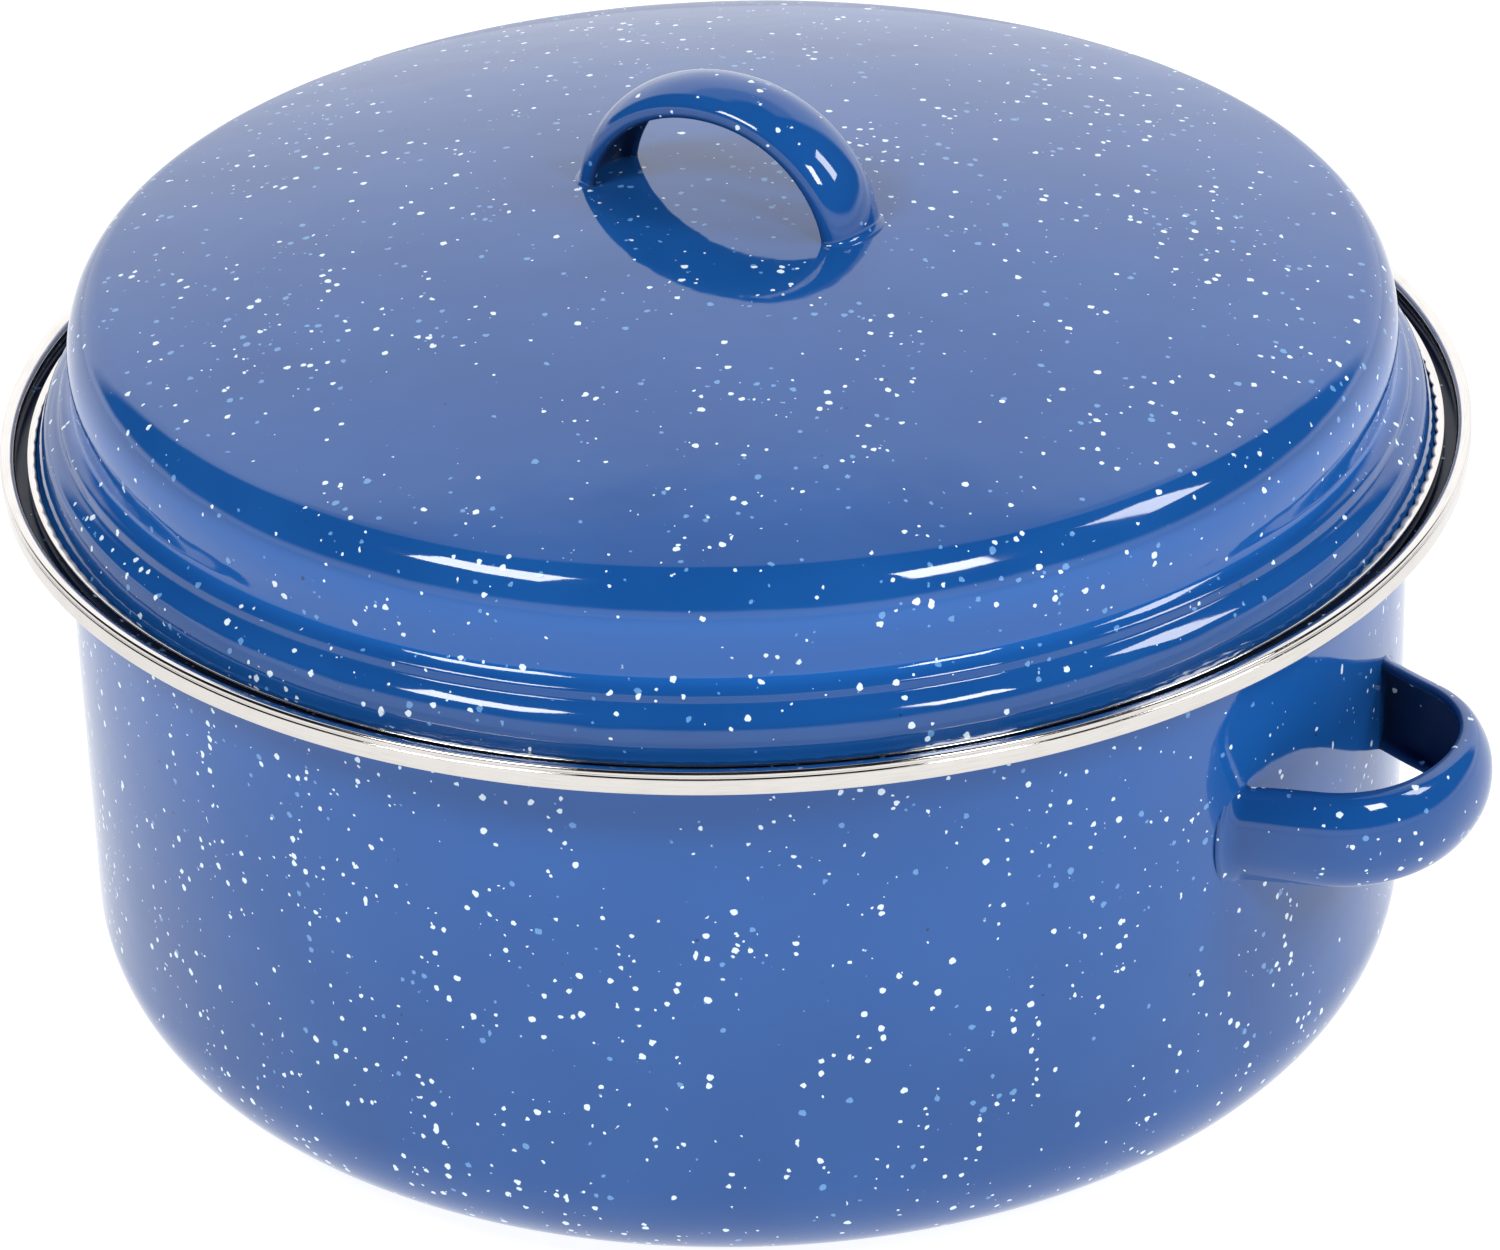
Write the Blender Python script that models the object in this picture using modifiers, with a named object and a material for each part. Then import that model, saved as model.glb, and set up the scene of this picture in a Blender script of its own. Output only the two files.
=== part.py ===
"""Enamelled water bath canner: a covered steel pot with loop handles, and a lift-out wire jar rack inside.

Metres, +Z up. The origin is the centre of the flat underside of the pot, and +X runs through both side
handles and along the lid's handle. Run it with blender --background --python part.py.
"""

from math import cos, pi, radians, sin, sqrt, tan

import bmesh
import bpy
from mathutils import Vector

MM = 0.001
GAP = 0.3 * MM
ROUND_SEGMENTS = 48
WIRE_RING_SEGMENTS = 40
WIRE_SIDES = 6
MERGE = 0.0001

# Pot
SHEET = 1.4 * MM
BASE_CORNER_RADIUS = 26.8 * MM
WALL_RADIUS_BOTTOM = 136.3 * MM
WALL_RADIUS_TOP = 137.5 * MM
FLARE_RADIUS = 6.0 * MM
LEDGE_UNDERSIDE_Z = 121.6 * MM
LIP_FILLET_RADIUS = 2.1 * MM
LIP_RADIUS = 149.1 * MM
LIP_TOP_Z = 126.5 * MM

# Stainless band rolled over the pot's lip
RIM_RADIUS = 150.0 * MM
RIM_TOP_Z = 127.7 * MM
RIM_SKIRT_BOTTOM_Z = 122.7 * MM
RIM_INNER_LEG_BOTTOM_Z = 124.9 * MM
RIM_ROLL_RADIUS = 1.55 * MM
BAND_SHEET = 0.5 * MM

# Lid
LID_EDGE_RADIUS = 143.7 * MM
LID_EDGE_Z = 125.4 * MM
LID_DRUM_RADIUS = 135.0 * MM
LID_DRUM_Z = 147.2 * MM
LID_SHOULDER_RADIUS = 126.5 * MM
LID_SHOULDER_Z = 160.5 * MM
LID_CROWN_Z = 175.6 * MM
LID_SEAT_LINE = (
    # (r, z) from the drum's foot, over the seating flange, down to the brim
    (134.6 * MM, 140.0 * MM),
    (136.0 * MM, 138.1 * MM),
    (138.6 * MM, 135.4 * MM),
    (140.7 * MM, 132.2 * MM),
    (142.1 * MM, 126.9 * MM),
    (142.4 * MM, LID_EDGE_Z),
)
LID_SHEET = 1.2 * MM
LID_BAND_RADIUS = 144.5 * MM
LID_BAND_INNER_RADIUS = 142.7 * MM
LID_BAND_BOTTOM_Z = 123.4 * MM
LID_BAND_TOP_Z = 126.2 * MM

# Strap handles: a cambered strap, its outer face the convex one
STRAP_CAMBER = 5.0 * MM
STRAP_THICKNESS = 2.8 * MM
SIDE_HANDLE_REACH = 169.0 * MM
SIDE_HANDLE_HALF_WIDTH = 35.4 * MM
SIDE_HANDLE_Z = 79.6 * MM
SIDE_STRAP_WIDTH = 20.6 * MM
SIDE_LEG_OUT = 17.0 * MM
SIDE_LEG_LEAN = radians(18)
SIDE_LEG_PULL = 12.0 * MM
SIDE_GRIP_PULL = 15.5 * MM
LID_HANDLE_HALF_LENGTH = 33.2 * MM
LID_HANDLE_TOP_Z = 201.5 * MM
LID_STRAP_WIDTH = 18.0 * MM
LID_STRAP_CAMBER = 4.4 * MM
LID_HANDLE_ROUNDNESS = 2.05

# Jar rack: 4 mm wire, six jars round one
WIRE = 2.0 * MM
WIRE_STEP = 2 * WIRE + GAP
DIVIDER_COUNT = 6
DIVIDER_OUTER_RADIUS = 122.0 * MM
DIVIDER_INNER_RADIUS = 44.8 * MM
DIVIDER_BEND_RADIUS = 9.0 * MM
DIVIDER_TOP_Z = 62.0 * MM
TOP_RING_Z = DIVIDER_TOP_Z - WIRE
BASE_RING_RADII = {"outer": 106.0 * MM, "middle": 78.0 * MM, "inner": 50.0 * MM}
CENTRE_BAR_Y = 15.0 * MM
BAIL_WIRE = 1.75 * MM
EYELET_WIRE = 1.25 * MM
EYELET_HOLE_RADIUS = BAIL_WIRE + 0.35 * MM
EYELET_X = 30.0 * MM
BAIL_HALF_WIDTH = 25.0 * MM
BAIL_PIN_END_X = 35.0 * MM
BAIL_HEIGHT = 46.0 * MM
BAIL_FOOT_BEND = 3.0 * MM
BAIL_CORNER_RADIUS = 8.0 * MM
BAIL_KICK = 4.0 * MM
BAIL_KICK_START = 26.0 * MM
BAIL_LEAN = radians(6)

ENAMEL = {"colour": (0.035, 0.12, 0.40, 1), "metallic": 0.0, "roughness": 0.12}
STAINLESS = {"colour": (0.78, 0.76, 0.72, 1), "metallic": 1.0, "roughness": 0.22}
CHROMED_WIRE = {"colour": (0.72, 0.73, 0.75, 1), "metallic": 1.0, "roughness": 0.18}


def clear_scene():
    for obj in list(bpy.data.objects):
        bpy.data.objects.remove(obj, do_unlink=True)


def new_collection(name):
    collection = bpy.data.collections.new(name)
    bpy.context.scene.collection.children.link(collection)
    return collection


def new_material(name, colour, metallic, roughness):
    material = bpy.data.materials.new(name)
    material.use_nodes = True
    shader = material.node_tree.nodes["Principled BSDF"]
    shader.inputs["Base Color"].default_value = colour
    shader.inputs["Metallic"].default_value = metallic
    shader.inputs["Roughness"].default_value = roughness
    return material


def add_object(name, data, collection, finish=None):
    obj = bpy.data.objects.new(name, data)
    collection.objects.link(obj)
    if finish:
        obj.data.materials.append(new_material(name, **finish))
    return obj


def arc(centre, radius, start_deg, end_deg, steps):
    """Points (r, z) along an arc, both ends included."""
    angles = [radians(start_deg + (end_deg - start_deg) * i / steps) for i in range(steps + 1)]
    return [(centre[0] + radius * cos(a), centre[1] + radius * sin(a)) for a in angles]


def profile_mesh(name, points, closed):
    mesh = bpy.data.meshes.new(name)
    edges = [(i, i + 1) for i in range(len(points) - 1)]
    if closed:
        edges.append((len(points) - 1, 0))
    mesh.from_pydata([(r, 0, z) for r, z in points], edges, [])
    return mesh


def add_screw(obj):
    screw = obj.modifiers.new("Turn", "SCREW")
    screw.axis = "Z"
    screw.angle = 2 * pi
    screw.steps = ROUND_SEGMENTS
    screw.render_steps = ROUND_SEGMENTS
    screw.use_merge_vertices = True
    screw.merge_threshold = MERGE
    screw.use_smooth_shade = True


def turned_shell(name, outer_profile, thickness, collection, finish):
    """A turned sheet: its outer profile runs down from top to bottom, and the sheet lies inside it."""
    obj = add_object(name, profile_mesh(name, outer_profile, closed=False), collection, finish)
    add_screw(obj)
    sheet = obj.modifiers.new("Sheet", "SOLIDIFY")
    sheet.thickness = thickness
    sheet.offset = -1
    sheet.use_even_offset = True
    return obj


def turned_ring(name, section, collection, finish):
    """A ring of constant section, whose points run down the outer side first."""
    obj = add_object(name, profile_mesh(name, section, closed=True), collection, finish)
    add_screw(obj)
    return obj


def turned_cutter(name, outer_profile, collection):
    """A solid turned cutter, closed on the axis at both ends."""
    obj = add_object(name, profile_mesh(name, outer_profile, closed=False), collection)
    add_screw(obj)
    obj.hide_render = True
    obj.display_type = "WIRE"
    return obj


def add_torus(name, centre, axis_rotation, ring_radius, wire_radius, segments, collection, finish):
    bpy.ops.mesh.primitive_torus_add(
        major_segments=segments,
        minor_segments=WIRE_SIDES,
        major_radius=ring_radius,
        minor_radius=wire_radius,
        location=centre,
        rotation=axis_rotation,
    )
    obj = bpy.context.object
    for owner in list(obj.users_collection):
        owner.objects.unlink(obj)
    collection.objects.link(obj)
    obj.name = name
    obj.data.name = name
    obj.data.materials.append(new_material(name, **finish))
    obj.data.shade_smooth()
    return obj


def add_wire(name, points, radius, collection, finish):
    """A bent wire with flat ends along the given points."""
    curve = bpy.data.curves.new(name, "CURVE")
    curve.dimensions = "3D"
    curve.twist_mode = "MINIMUM"
    curve.bevel_depth = radius
    curve.bevel_resolution = 2
    curve.use_fill_caps = True
    spline = curve.splines.new("POLY")
    spline.points.add(len(points) - 1)
    for spline_point, point in zip(spline.points, points):
        spline_point.co = (*point, 1)
    return add_object(name, curve, collection, finish)


# Pot and rim band


def pot_outer_profile():
    lip_x = LIP_RADIUS - LIP_FILLET_RADIUS
    corner_x = WALL_RADIUS_BOTTOM - BASE_CORNER_RADIUS
    points = [(LIP_RADIUS, LIP_TOP_Z)]
    points += arc((lip_x, LEDGE_UNDERSIDE_Z + LIP_FILLET_RADIUS), LIP_FILLET_RADIUS, 0, -90, 3)
    flare_centre = (WALL_RADIUS_TOP + FLARE_RADIUS, LEDGE_UNDERSIDE_Z - FLARE_RADIUS)
    points += arc(flare_centre, FLARE_RADIUS, 90, 180, 4)
    points += arc((corner_x, BASE_CORNER_RADIUS), BASE_CORNER_RADIUS, 0, -90, 6)
    points.append((0, 0))
    return points


def add_pot_body(collection):
    return turned_shell("pot_body", pot_outer_profile(), SHEET, collection, ENAMEL)


def add_pot_rim_band(collection):
    """An upside-down U in section, with a round top: a deep skirt outside and a short leg inside."""
    roll_centre = (RIM_RADIUS - RIM_ROLL_RADIUS, RIM_TOP_Z - RIM_ROLL_RADIUS)
    hollow_radius = RIM_ROLL_RADIUS - BAND_SHEET
    outer_x = RIM_RADIUS - BAND_SHEET
    inner_x = RIM_RADIUS - 2 * RIM_ROLL_RADIUS
    section = arc(roll_centre, RIM_ROLL_RADIUS, 180, 0, 6)
    section.append((RIM_RADIUS, RIM_SKIRT_BOTTOM_Z))
    section.append((outer_x, RIM_SKIRT_BOTTOM_Z))
    section += arc(roll_centre, hollow_radius, 0, 180, 4)
    section.append((inner_x + BAND_SHEET, RIM_INNER_LEG_BOTTOM_Z))
    section.append((inner_x, RIM_INNER_LEG_BOTTOM_Z))
    return turned_ring("pot_rim_band", section, collection, STAINLESS)


# Lid


def lid_outer_profile():
    dome_drop = LID_CROWN_Z - LID_SHOULDER_Z
    dome_steps = 4
    shoulder_steps = 5
    points = []
    for i in range(dome_steps):
        share = i / dome_steps
        points.append((LID_SHOULDER_RADIUS * share, LID_CROWN_Z - dome_drop * share**2))
    for i in range(shoulder_steps + 1):
        angle = radians(90 - 90 * i / shoulder_steps)
        points.append(
            (
                LID_SHOULDER_RADIUS + (LID_DRUM_RADIUS - LID_SHOULDER_RADIUS) * cos(angle),
                LID_DRUM_Z + (LID_SHOULDER_Z - LID_DRUM_Z) * sin(angle),
            )
        )
    points += LID_SEAT_LINE
    points.append((LID_EDGE_RADIUS, LID_EDGE_Z))
    return points


def add_lid_shell(collection):
    return turned_shell("lid_shell", lid_outer_profile(), LID_SHEET, collection, ENAMEL)


def add_lid_rim_band(collection):
    """A channel that opens towards the axis and grips the lid's edge from above and below."""
    bevel = BAND_SHEET
    section = [
        (LID_BAND_INNER_RADIUS, LID_BAND_TOP_Z),
        (LID_BAND_RADIUS - bevel, LID_BAND_TOP_Z),
        (LID_BAND_RADIUS, LID_BAND_TOP_Z - bevel),
        (LID_BAND_RADIUS, LID_BAND_BOTTOM_Z + bevel),
        (LID_BAND_RADIUS - bevel, LID_BAND_BOTTOM_Z),
        (LID_BAND_INNER_RADIUS, LID_BAND_BOTTOM_Z),
        (LID_BAND_INNER_RADIUS, LID_BAND_BOTTOM_Z + BAND_SHEET),
        (LID_BAND_RADIUS - BAND_SHEET, LID_BAND_BOTTOM_Z + BAND_SHEET),
        (LID_BAND_RADIUS - BAND_SHEET, LID_BAND_TOP_Z - BAND_SHEET),
        (LID_BAND_INNER_RADIUS, LID_BAND_TOP_Z - BAND_SHEET),
    ]
    return turned_ring("lid_rim_band", section, collection, STAINLESS)


# Strap handles


def superellipse_half(half_width, reach, roundness, steps):
    """Half a superellipse from (half_width, 0) over (0, reach) to (-half_width, 0)."""
    points = []
    for i in range(steps + 1):
        angle = pi * i / steps
        across = abs(cos(angle)) ** (2 / roundness) * half_width
        out = abs(sin(angle)) ** (2 / roundness) * reach
        points.append((across if cos(angle) > 0 else -across, out))
    return points


def loop_plan(half_width, reach):
    """Pairs (across, out) of a loop with straight legs that lean together and a round grip."""
    bend_steps = 6
    bend_start = (half_width - SIDE_LEG_OUT * tan(SIDE_LEG_LEAN), SIDE_LEG_OUT)
    leg_pull = (
        bend_start[0] - SIDE_LEG_PULL * sin(SIDE_LEG_LEAN),
        bend_start[1] + SIDE_LEG_PULL * cos(SIDE_LEG_LEAN),
    )
    corners = (bend_start, leg_pull, (SIDE_GRIP_PULL, reach), (0, reach))
    half = [(half_width, 0), ((half_width + bend_start[0]) / 2, SIDE_LEG_OUT / 2)]
    for i in range(bend_steps + 1):
        t = i / bend_steps
        shares = ((1 - t) ** 3, 3 * t * (1 - t) ** 2, 3 * t * t * (1 - t), t**3)
        half.append(tuple(sum(s * c[k] for s, c in zip(shares, corners)) for k in (0, 1)))
    return half + [(-across, out) for across, out in reversed(half[:-1])]


def strap_section(width, camber, thickness):
    """Pairs (along the width, inwards from the outermost line) round a cambered strap with round edges."""
    steps = 6
    shares = [-1 + 2 * i / steps for i in range(steps + 1)]
    edge = thickness * 0.5
    outer = [(s * width / 2, camber * abs(s) ** 2.5) for s in shares]
    inner = [(s * (width / 2 - edge * 0.6), thickness + camber * 0.8 * abs(s) ** 2.5) for s in shares]
    return outer + inner[::-1]


def sweep_strap(name, centre_line, section, lateral, collection, finish):
    """Lofts the section along a planar line; lateral is the direction of the strap's width."""
    shape = bmesh.new()
    rings = []
    for i, point in enumerate(centre_line):
        before = centre_line[max(i - 1, 0)]
        after = centre_line[min(i + 1, len(centre_line) - 1)]
        outward = (after - before).cross(lateral).normalized()
        rings.append([shape.verts.new(point + lateral * w - outward * d) for w, d in section])
    for ring, following in zip(rings, rings[1:]):
        for i in range(len(section)):
            j = (i + 1) % len(section)
            shape.faces.new((ring[i], ring[j], following[j], following[i]))
    shape.faces.new(rings[0][::-1])
    shape.faces.new(rings[-1])
    bmesh.ops.recalc_face_normals(shape, faces=shape.faces)
    mesh = bpy.data.meshes.new(name)
    shape.to_mesh(mesh)
    shape.free()
    obj = add_object(name, mesh, collection, finish)
    mesh.shade_smooth()
    return obj


def cut_with(obj, cutter):
    cut = obj.modifiers.new("Clear of the sheet", "BOOLEAN")
    cut.operation = "DIFFERENCE"
    cut.solver = "EXACT"
    cut.object = cutter


def add_side_handle(name, side, cutter, collection):
    """A loop seen from above; its two legs lean together and butt on the pot's wall."""
    chord = sqrt(WALL_RADIUS_TOP**2 - SIDE_HANDLE_HALF_WIDTH**2)
    plan = loop_plan(SIDE_HANDLE_HALF_WIDTH, SIDE_HANDLE_REACH - chord)
    inside = chord - 2 * SHEET
    root = (inside - chord) * tan(SIDE_LEG_LEAN)
    plan = (
        [(SIDE_HANDLE_HALF_WIDTH - root, inside - chord)]
        + plan
        + [(root - SIDE_HANDLE_HALF_WIDTH, inside - chord)]
    )
    line = [Vector((side * (chord + out), side * across, SIDE_HANDLE_Z)) for across, out in plan]
    section = strap_section(SIDE_STRAP_WIDTH, STRAP_CAMBER, STRAP_THICKNESS)
    handle = sweep_strap(name, line, section, Vector((0, 0, -1)), collection, ENAMEL)
    cut_with(handle, cutter)
    return handle


def add_lid_handle(cutter, collection):
    """An arch over the lid's crown, along X."""
    foot_z = LID_CROWN_Z - 4 * LID_SHEET
    rise = LID_HANDLE_TOP_Z - foot_z
    arch = superellipse_half(LID_HANDLE_HALF_LENGTH, rise, LID_HANDLE_ROUNDNESS, 16)
    line = [Vector((across, 0, foot_z + up)) for across, up in arch]
    section = strap_section(LID_STRAP_WIDTH, LID_STRAP_CAMBER, STRAP_THICKNESS)
    handle = sweep_strap("lid_handle", line, section, Vector((0, -1, 0)), collection, ENAMEL)
    cut_with(handle, cutter)
    return handle


def add_wall_cutter(collection):
    """A plug a little larger than the pot's wall."""
    above = SIDE_HANDLE_Z + SIDE_STRAP_WIDTH
    below = SIDE_HANDLE_Z - SIDE_STRAP_WIDTH
    radius = WALL_RADIUS_TOP + GAP
    profile = [(0, above), (radius, above), (radius, below), (0, below)]
    return turned_cutter("wall_clearance", profile, collection)


def add_dome_cutter(collection):
    """A plug a little higher than the lid's dome."""
    rim = [(r, z + GAP) for r, z in lid_outer_profile() if z > LID_SHOULDER_Z]
    below = LID_SHOULDER_Z - LID_SHEET
    return turned_cutter("dome_clearance", rim + [(rim[-1][0], below), (0, below)], collection)


# Jar rack


def pot_floor_z():
    return SHEET + GAP


def divider_floor_z():
    """Height of the dividers' floor wires, which lie across the base rings."""
    return pot_floor_z() + WIRE + WIRE_STEP


def divider_profile():
    """One U-shaped divider in its own radial plane, as (r, z)."""
    floor_z = divider_floor_z()
    bend = DIVIDER_BEND_RADIUS
    inner = arc((DIVIDER_INNER_RADIUS + bend, floor_z + bend), bend, 180, 270, 4)
    outer = arc((DIVIDER_OUTER_RADIUS - bend, floor_z + bend), bend, 270, 360, 4)
    inner_end = (DIVIDER_INNER_RADIUS, DIVIDER_TOP_Z)
    outer_end = (DIVIDER_OUTER_RADIUS, DIVIDER_TOP_Z)
    return [inner_end] + inner + outer + [outer_end]


def add_dividers(collection):
    for number in range(DIVIDER_COUNT):
        angle = 2 * pi * (number + 0.5) / DIVIDER_COUNT
        points = [(r * cos(angle), r * sin(angle), z) for r, z in divider_profile()]
        add_wire(f"rack_divider_{number + 1}", points, WIRE, collection, CHROMED_WIRE)


def top_ring_radius():
    return DIVIDER_OUTER_RADIUS + WIRE_STEP


def add_rack_rings(collection):
    for place, radius in BASE_RING_RADII.items():
        centre = (0, 0, pot_floor_z() + WIRE)
        name = f"rack_base_ring_{place}"
        add_torus(name, centre, (0, 0, 0), radius, WIRE, WIRE_RING_SEGMENTS, collection, CHROMED_WIRE)
    top_radii = {"outer": top_ring_radius(), "inner": DIVIDER_INNER_RADIUS - WIRE_STEP}
    for place, radius in top_radii.items():
        centre = (0, 0, TOP_RING_Z)
        name = f"rack_top_ring_{place}"
        add_torus(name, centre, (0, 0, 0), radius, WIRE, WIRE_RING_SEGMENTS, collection, CHROMED_WIRE)


def add_centre_bars(collection):
    """Two straight wires across the inner base ring, which carry the middle jar."""
    reach = sqrt((BASE_RING_RADII["inner"] - WIRE) ** 2 - (CENTRE_BAR_Y + WIRE) ** 2) - GAP
    for place, side in (("front", -1), ("back", 1)):
        ends = [(x, side * CENTRE_BAR_Y, pot_floor_z() + WIRE) for x in (-reach, reach)]
        add_wire(f"rack_centre_bar_{place}", ends, WIRE, collection, CHROMED_WIRE)


def pivot_position():
    """(y, z) of the bails' pivot line, on the centre line of the eyelets that stand on the top ring."""
    eyelet_height = EYELET_HOLE_RADIUS + 2 * EYELET_WIRE
    y = sqrt(top_ring_radius() ** 2 - EYELET_X**2)
    return y, DIVIDER_TOP_Z + GAP + eyelet_height


def add_eyelets(collection):
    y, z = pivot_position()
    ring_radius = EYELET_HOLE_RADIUS + EYELET_WIRE
    for end, sign_y in (("front", -1), ("back", 1)):
        for hand, sign_x in (("left", -1), ("right", 1)):
            name = f"rack_eyelet_{end}_{hand}"
            centre = (sign_x * EYELET_X, sign_y * y, z)
            add_torus(name, centre, (0, pi / 2, 0), ring_radius, EYELET_WIRE, 16, collection, CHROMED_WIRE)


def bail_half_outline():
    """(x, height) from a pin's end, round the foot and up to the top corner."""
    foot = arc((BAIL_HALF_WIDTH + BAIL_FOOT_BEND, BAIL_FOOT_BEND), BAIL_FOOT_BEND, 270, 180, 3)
    corner_centre = (BAIL_HALF_WIDTH - BAIL_CORNER_RADIUS, BAIL_HEIGHT - BAIL_CORNER_RADIUS)
    corner = arc(corner_centre, BAIL_CORNER_RADIUS, 0, 90, 4)
    kick_start = (BAIL_HALF_WIDTH, BAIL_KICK_START)
    return [(BAIL_PIN_END_X, 0)] + foot + [kick_start] + corner


def add_bail(end, sign_y, collection):
    """A bail that leans outwards from its pivot, with its grip kicked out a little further."""
    y, z = pivot_position()
    half = bail_half_outline()
    outline = half + [(-x, height) for x, height in reversed(half)]
    points = []
    for x, height in outline:
        rise = max(0, height - BAIL_KICK_START) / (BAIL_HEIGHT - BAIL_KICK_START)
        out = BAIL_KICK * rise**2
        lean_out = out * cos(BAIL_LEAN) + height * sin(BAIL_LEAN)
        lean_up = height * cos(BAIL_LEAN) - out * sin(BAIL_LEAN)
        points.append((x, sign_y * lean_out, lean_up))
    bail = add_wire(f"rack_handle_{end}", points, BAIL_WIRE, collection, CHROMED_WIRE)
    bail.location = (0, sign_y * y, z)
    return bail


def main():
    clear_scene()
    canner = new_collection("water_bath_canner")
    cutters = new_collection("cutters")
    wall_cutter = add_wall_cutter(cutters)
    dome_cutter = add_dome_cutter(cutters)
    add_pot_body(canner)
    add_pot_rim_band(canner)
    add_side_handle("side_handle_right", 1, wall_cutter, canner)
    add_side_handle("side_handle_left", -1, wall_cutter, canner)
    add_lid_shell(canner)
    add_lid_rim_band(canner)
    add_lid_handle(dome_cutter, canner)
    add_rack_rings(canner)
    add_centre_bars(canner)
    add_dividers(canner)
    add_eyelets(canner)
    add_bail("front", -1, canner)
    add_bail("back", 1, canner)


main()
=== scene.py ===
"""Looks of the enamelled water bath canner: speckled blue enamel, stainless bands, chromed wire rack.

Metres, +Z up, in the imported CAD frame: the origin is the centre of the pot's underside, and +X runs
through both side handles and along the lid's handle. Each piece made here stands for one CAD node,
apart from the rack's welds, which the CAD leaves out.
"""

from math import cos, hypot, pi, radians, sin, sqrt, tan

import bmesh
import bpy
from mathutils import Matrix, Vector, noise


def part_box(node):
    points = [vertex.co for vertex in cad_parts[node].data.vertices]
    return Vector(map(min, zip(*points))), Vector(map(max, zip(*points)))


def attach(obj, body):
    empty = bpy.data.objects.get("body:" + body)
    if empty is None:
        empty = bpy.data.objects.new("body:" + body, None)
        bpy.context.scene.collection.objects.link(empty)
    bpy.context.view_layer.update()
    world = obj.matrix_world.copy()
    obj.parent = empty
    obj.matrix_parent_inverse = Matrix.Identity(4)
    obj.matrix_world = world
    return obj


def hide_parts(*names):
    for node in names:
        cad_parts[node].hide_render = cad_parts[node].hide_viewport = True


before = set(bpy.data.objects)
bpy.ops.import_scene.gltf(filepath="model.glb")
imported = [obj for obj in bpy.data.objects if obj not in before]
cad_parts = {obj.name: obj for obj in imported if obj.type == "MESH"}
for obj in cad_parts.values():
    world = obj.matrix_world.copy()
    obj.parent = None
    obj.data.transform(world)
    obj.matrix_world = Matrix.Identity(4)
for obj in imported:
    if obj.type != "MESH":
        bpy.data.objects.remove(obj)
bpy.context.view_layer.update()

MM = 0.001

# Camera, round the centre of the pot's rim
CAMERA_TARGET_Z = 125.2 * MM
CAMERA_DISTANCE = 1.636
CAMERA_AZIMUTH = 32.2
CAMERA_ELEVATION = 27.38
CAMERA_PAN = 0.06
CAMERA_TILT = -1.49
CAMERA_ROLL = 1.77
LENS_MM = 192

# Turned shells
SHELL_SEGMENTS = 288
POT_SHEET = 1.0 * MM
POT_CORNER_RADIUS = 26.8 * MM
WALL_RADIUS_BOTTOM = 136.3 * MM
WALL_RADIUS_TOP = 137.5 * MM
FLARE_RADIUS = 6.0 * MM
LEDGE_UNDERSIDE_Z = 121.6 * MM
LIP_FILLET_RADIUS = 2.1 * MM
LIP_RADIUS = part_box("pot_body")[1].x
LIP_TOP_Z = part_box("pot_body")[1].z
ENAMEL_WAVE = 0.05 * MM
ENAMEL_WAVE_LENGTH = 14 * MM

# Stainless band on the pot's lip
BAND_SHEET = 0.35 * MM
RIM_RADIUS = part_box("pot_rim_band")[1].x
RIM_BOTTOM_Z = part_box("pot_rim_band")[0].z
RIM_TOP_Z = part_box("pot_rim_band")[1].z
RIM_INNER_RADIUS = RIM_RADIUS - 3.1 * MM
RIM_INNER_LEG_Z = RIM_TOP_Z - 2.8 * MM
RIM_CREASE_Z = RIM_BOTTOM_Z + 3.5 * MM
RIM_CREASE_DEPTH = 0.25 * MM
RIM_CREASE_WANDER = 0.12 * MM
RIM_BEAD_RADIUS = 0.68 * MM
RIM_BEAD_IN = 0.03 * MM
RIM_BEAD_UP = 0.08 * MM
RIM_CROWN_IN = 0.55 * MM
RIM_ROLL_DROP = 2.2 * MM
RIM_CURL = 0.45 * MM
RIM_TUCK_IN = 0.3 * MM
RIM_TUCK_UP = 0.2 * MM

# Lid
LID_SHEET = 1.2 * MM
LID_CROWN_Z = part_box("lid_shell")[1].z
SHOULDER_RADIUS = 126.5 * MM
SHOULDER_Z = 160.5 * MM
DRUM_RADIUS = 135.0 * MM
DRUM_Z = 147.2 * MM
SHOULDER_START_DEG = 81.35
SEAT_LINE = (
    # r, z, elevation of the surface's normal, from the drum's foot down to the brim
    (134.6 * MM, 140.0 * MM, 0),
    (135.9 * MM, 138.2 * MM, 52),
    (137.2 * MM, 137.0 * MM, 14),
    (137.5 * MM, 135.7 * MM, 12),
    (138.7 * MM, 134.6 * MM, 50),
    (140.7 * MM, 132.2 * MM, 20),
    (142.1 * MM, 126.9 * MM, 8),
    (142.9 * MM, 125.4 * MM, 90),
)
SEAT_STEPS = 7
SEAT_WAVE = 0.06 * MM
SEAT_WAVE_LENGTH = 5 * MM
BRIM_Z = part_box("lid_shell")[0].z + LID_SHEET
BRIM_RADIUS = 144.0 * MM

# Stainless band crimped on the lid's brim
LID_BAND_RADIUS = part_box("lid_rim_band")[1].x
LID_BAND_BOTTOM_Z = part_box("lid_rim_band")[0].z
LID_BAND_TOP_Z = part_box("lid_rim_band")[1].z
CRIMP_TEETH = 172
CRIMP_STEPS = 8
CRIMP_DEPTH = 0.7 * MM
CRIMP_INNER_RADIUS = 142.9 * MM
CRIMP_REACH = 0.45 * MM
CRIMP_CORNER = 0.3 * MM
CRIMP_DEEPEST_AT = radians(32.2)
CRIMP_EDGE = (
    # out from the flange's inner edge and down from its top, as it dips towards that edge
    (0.4 * MM, 0.02 * MM),
    (0.2 * MM, 0.08 * MM),
    (0.0 * MM, 0.2 * MM),
)

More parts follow.
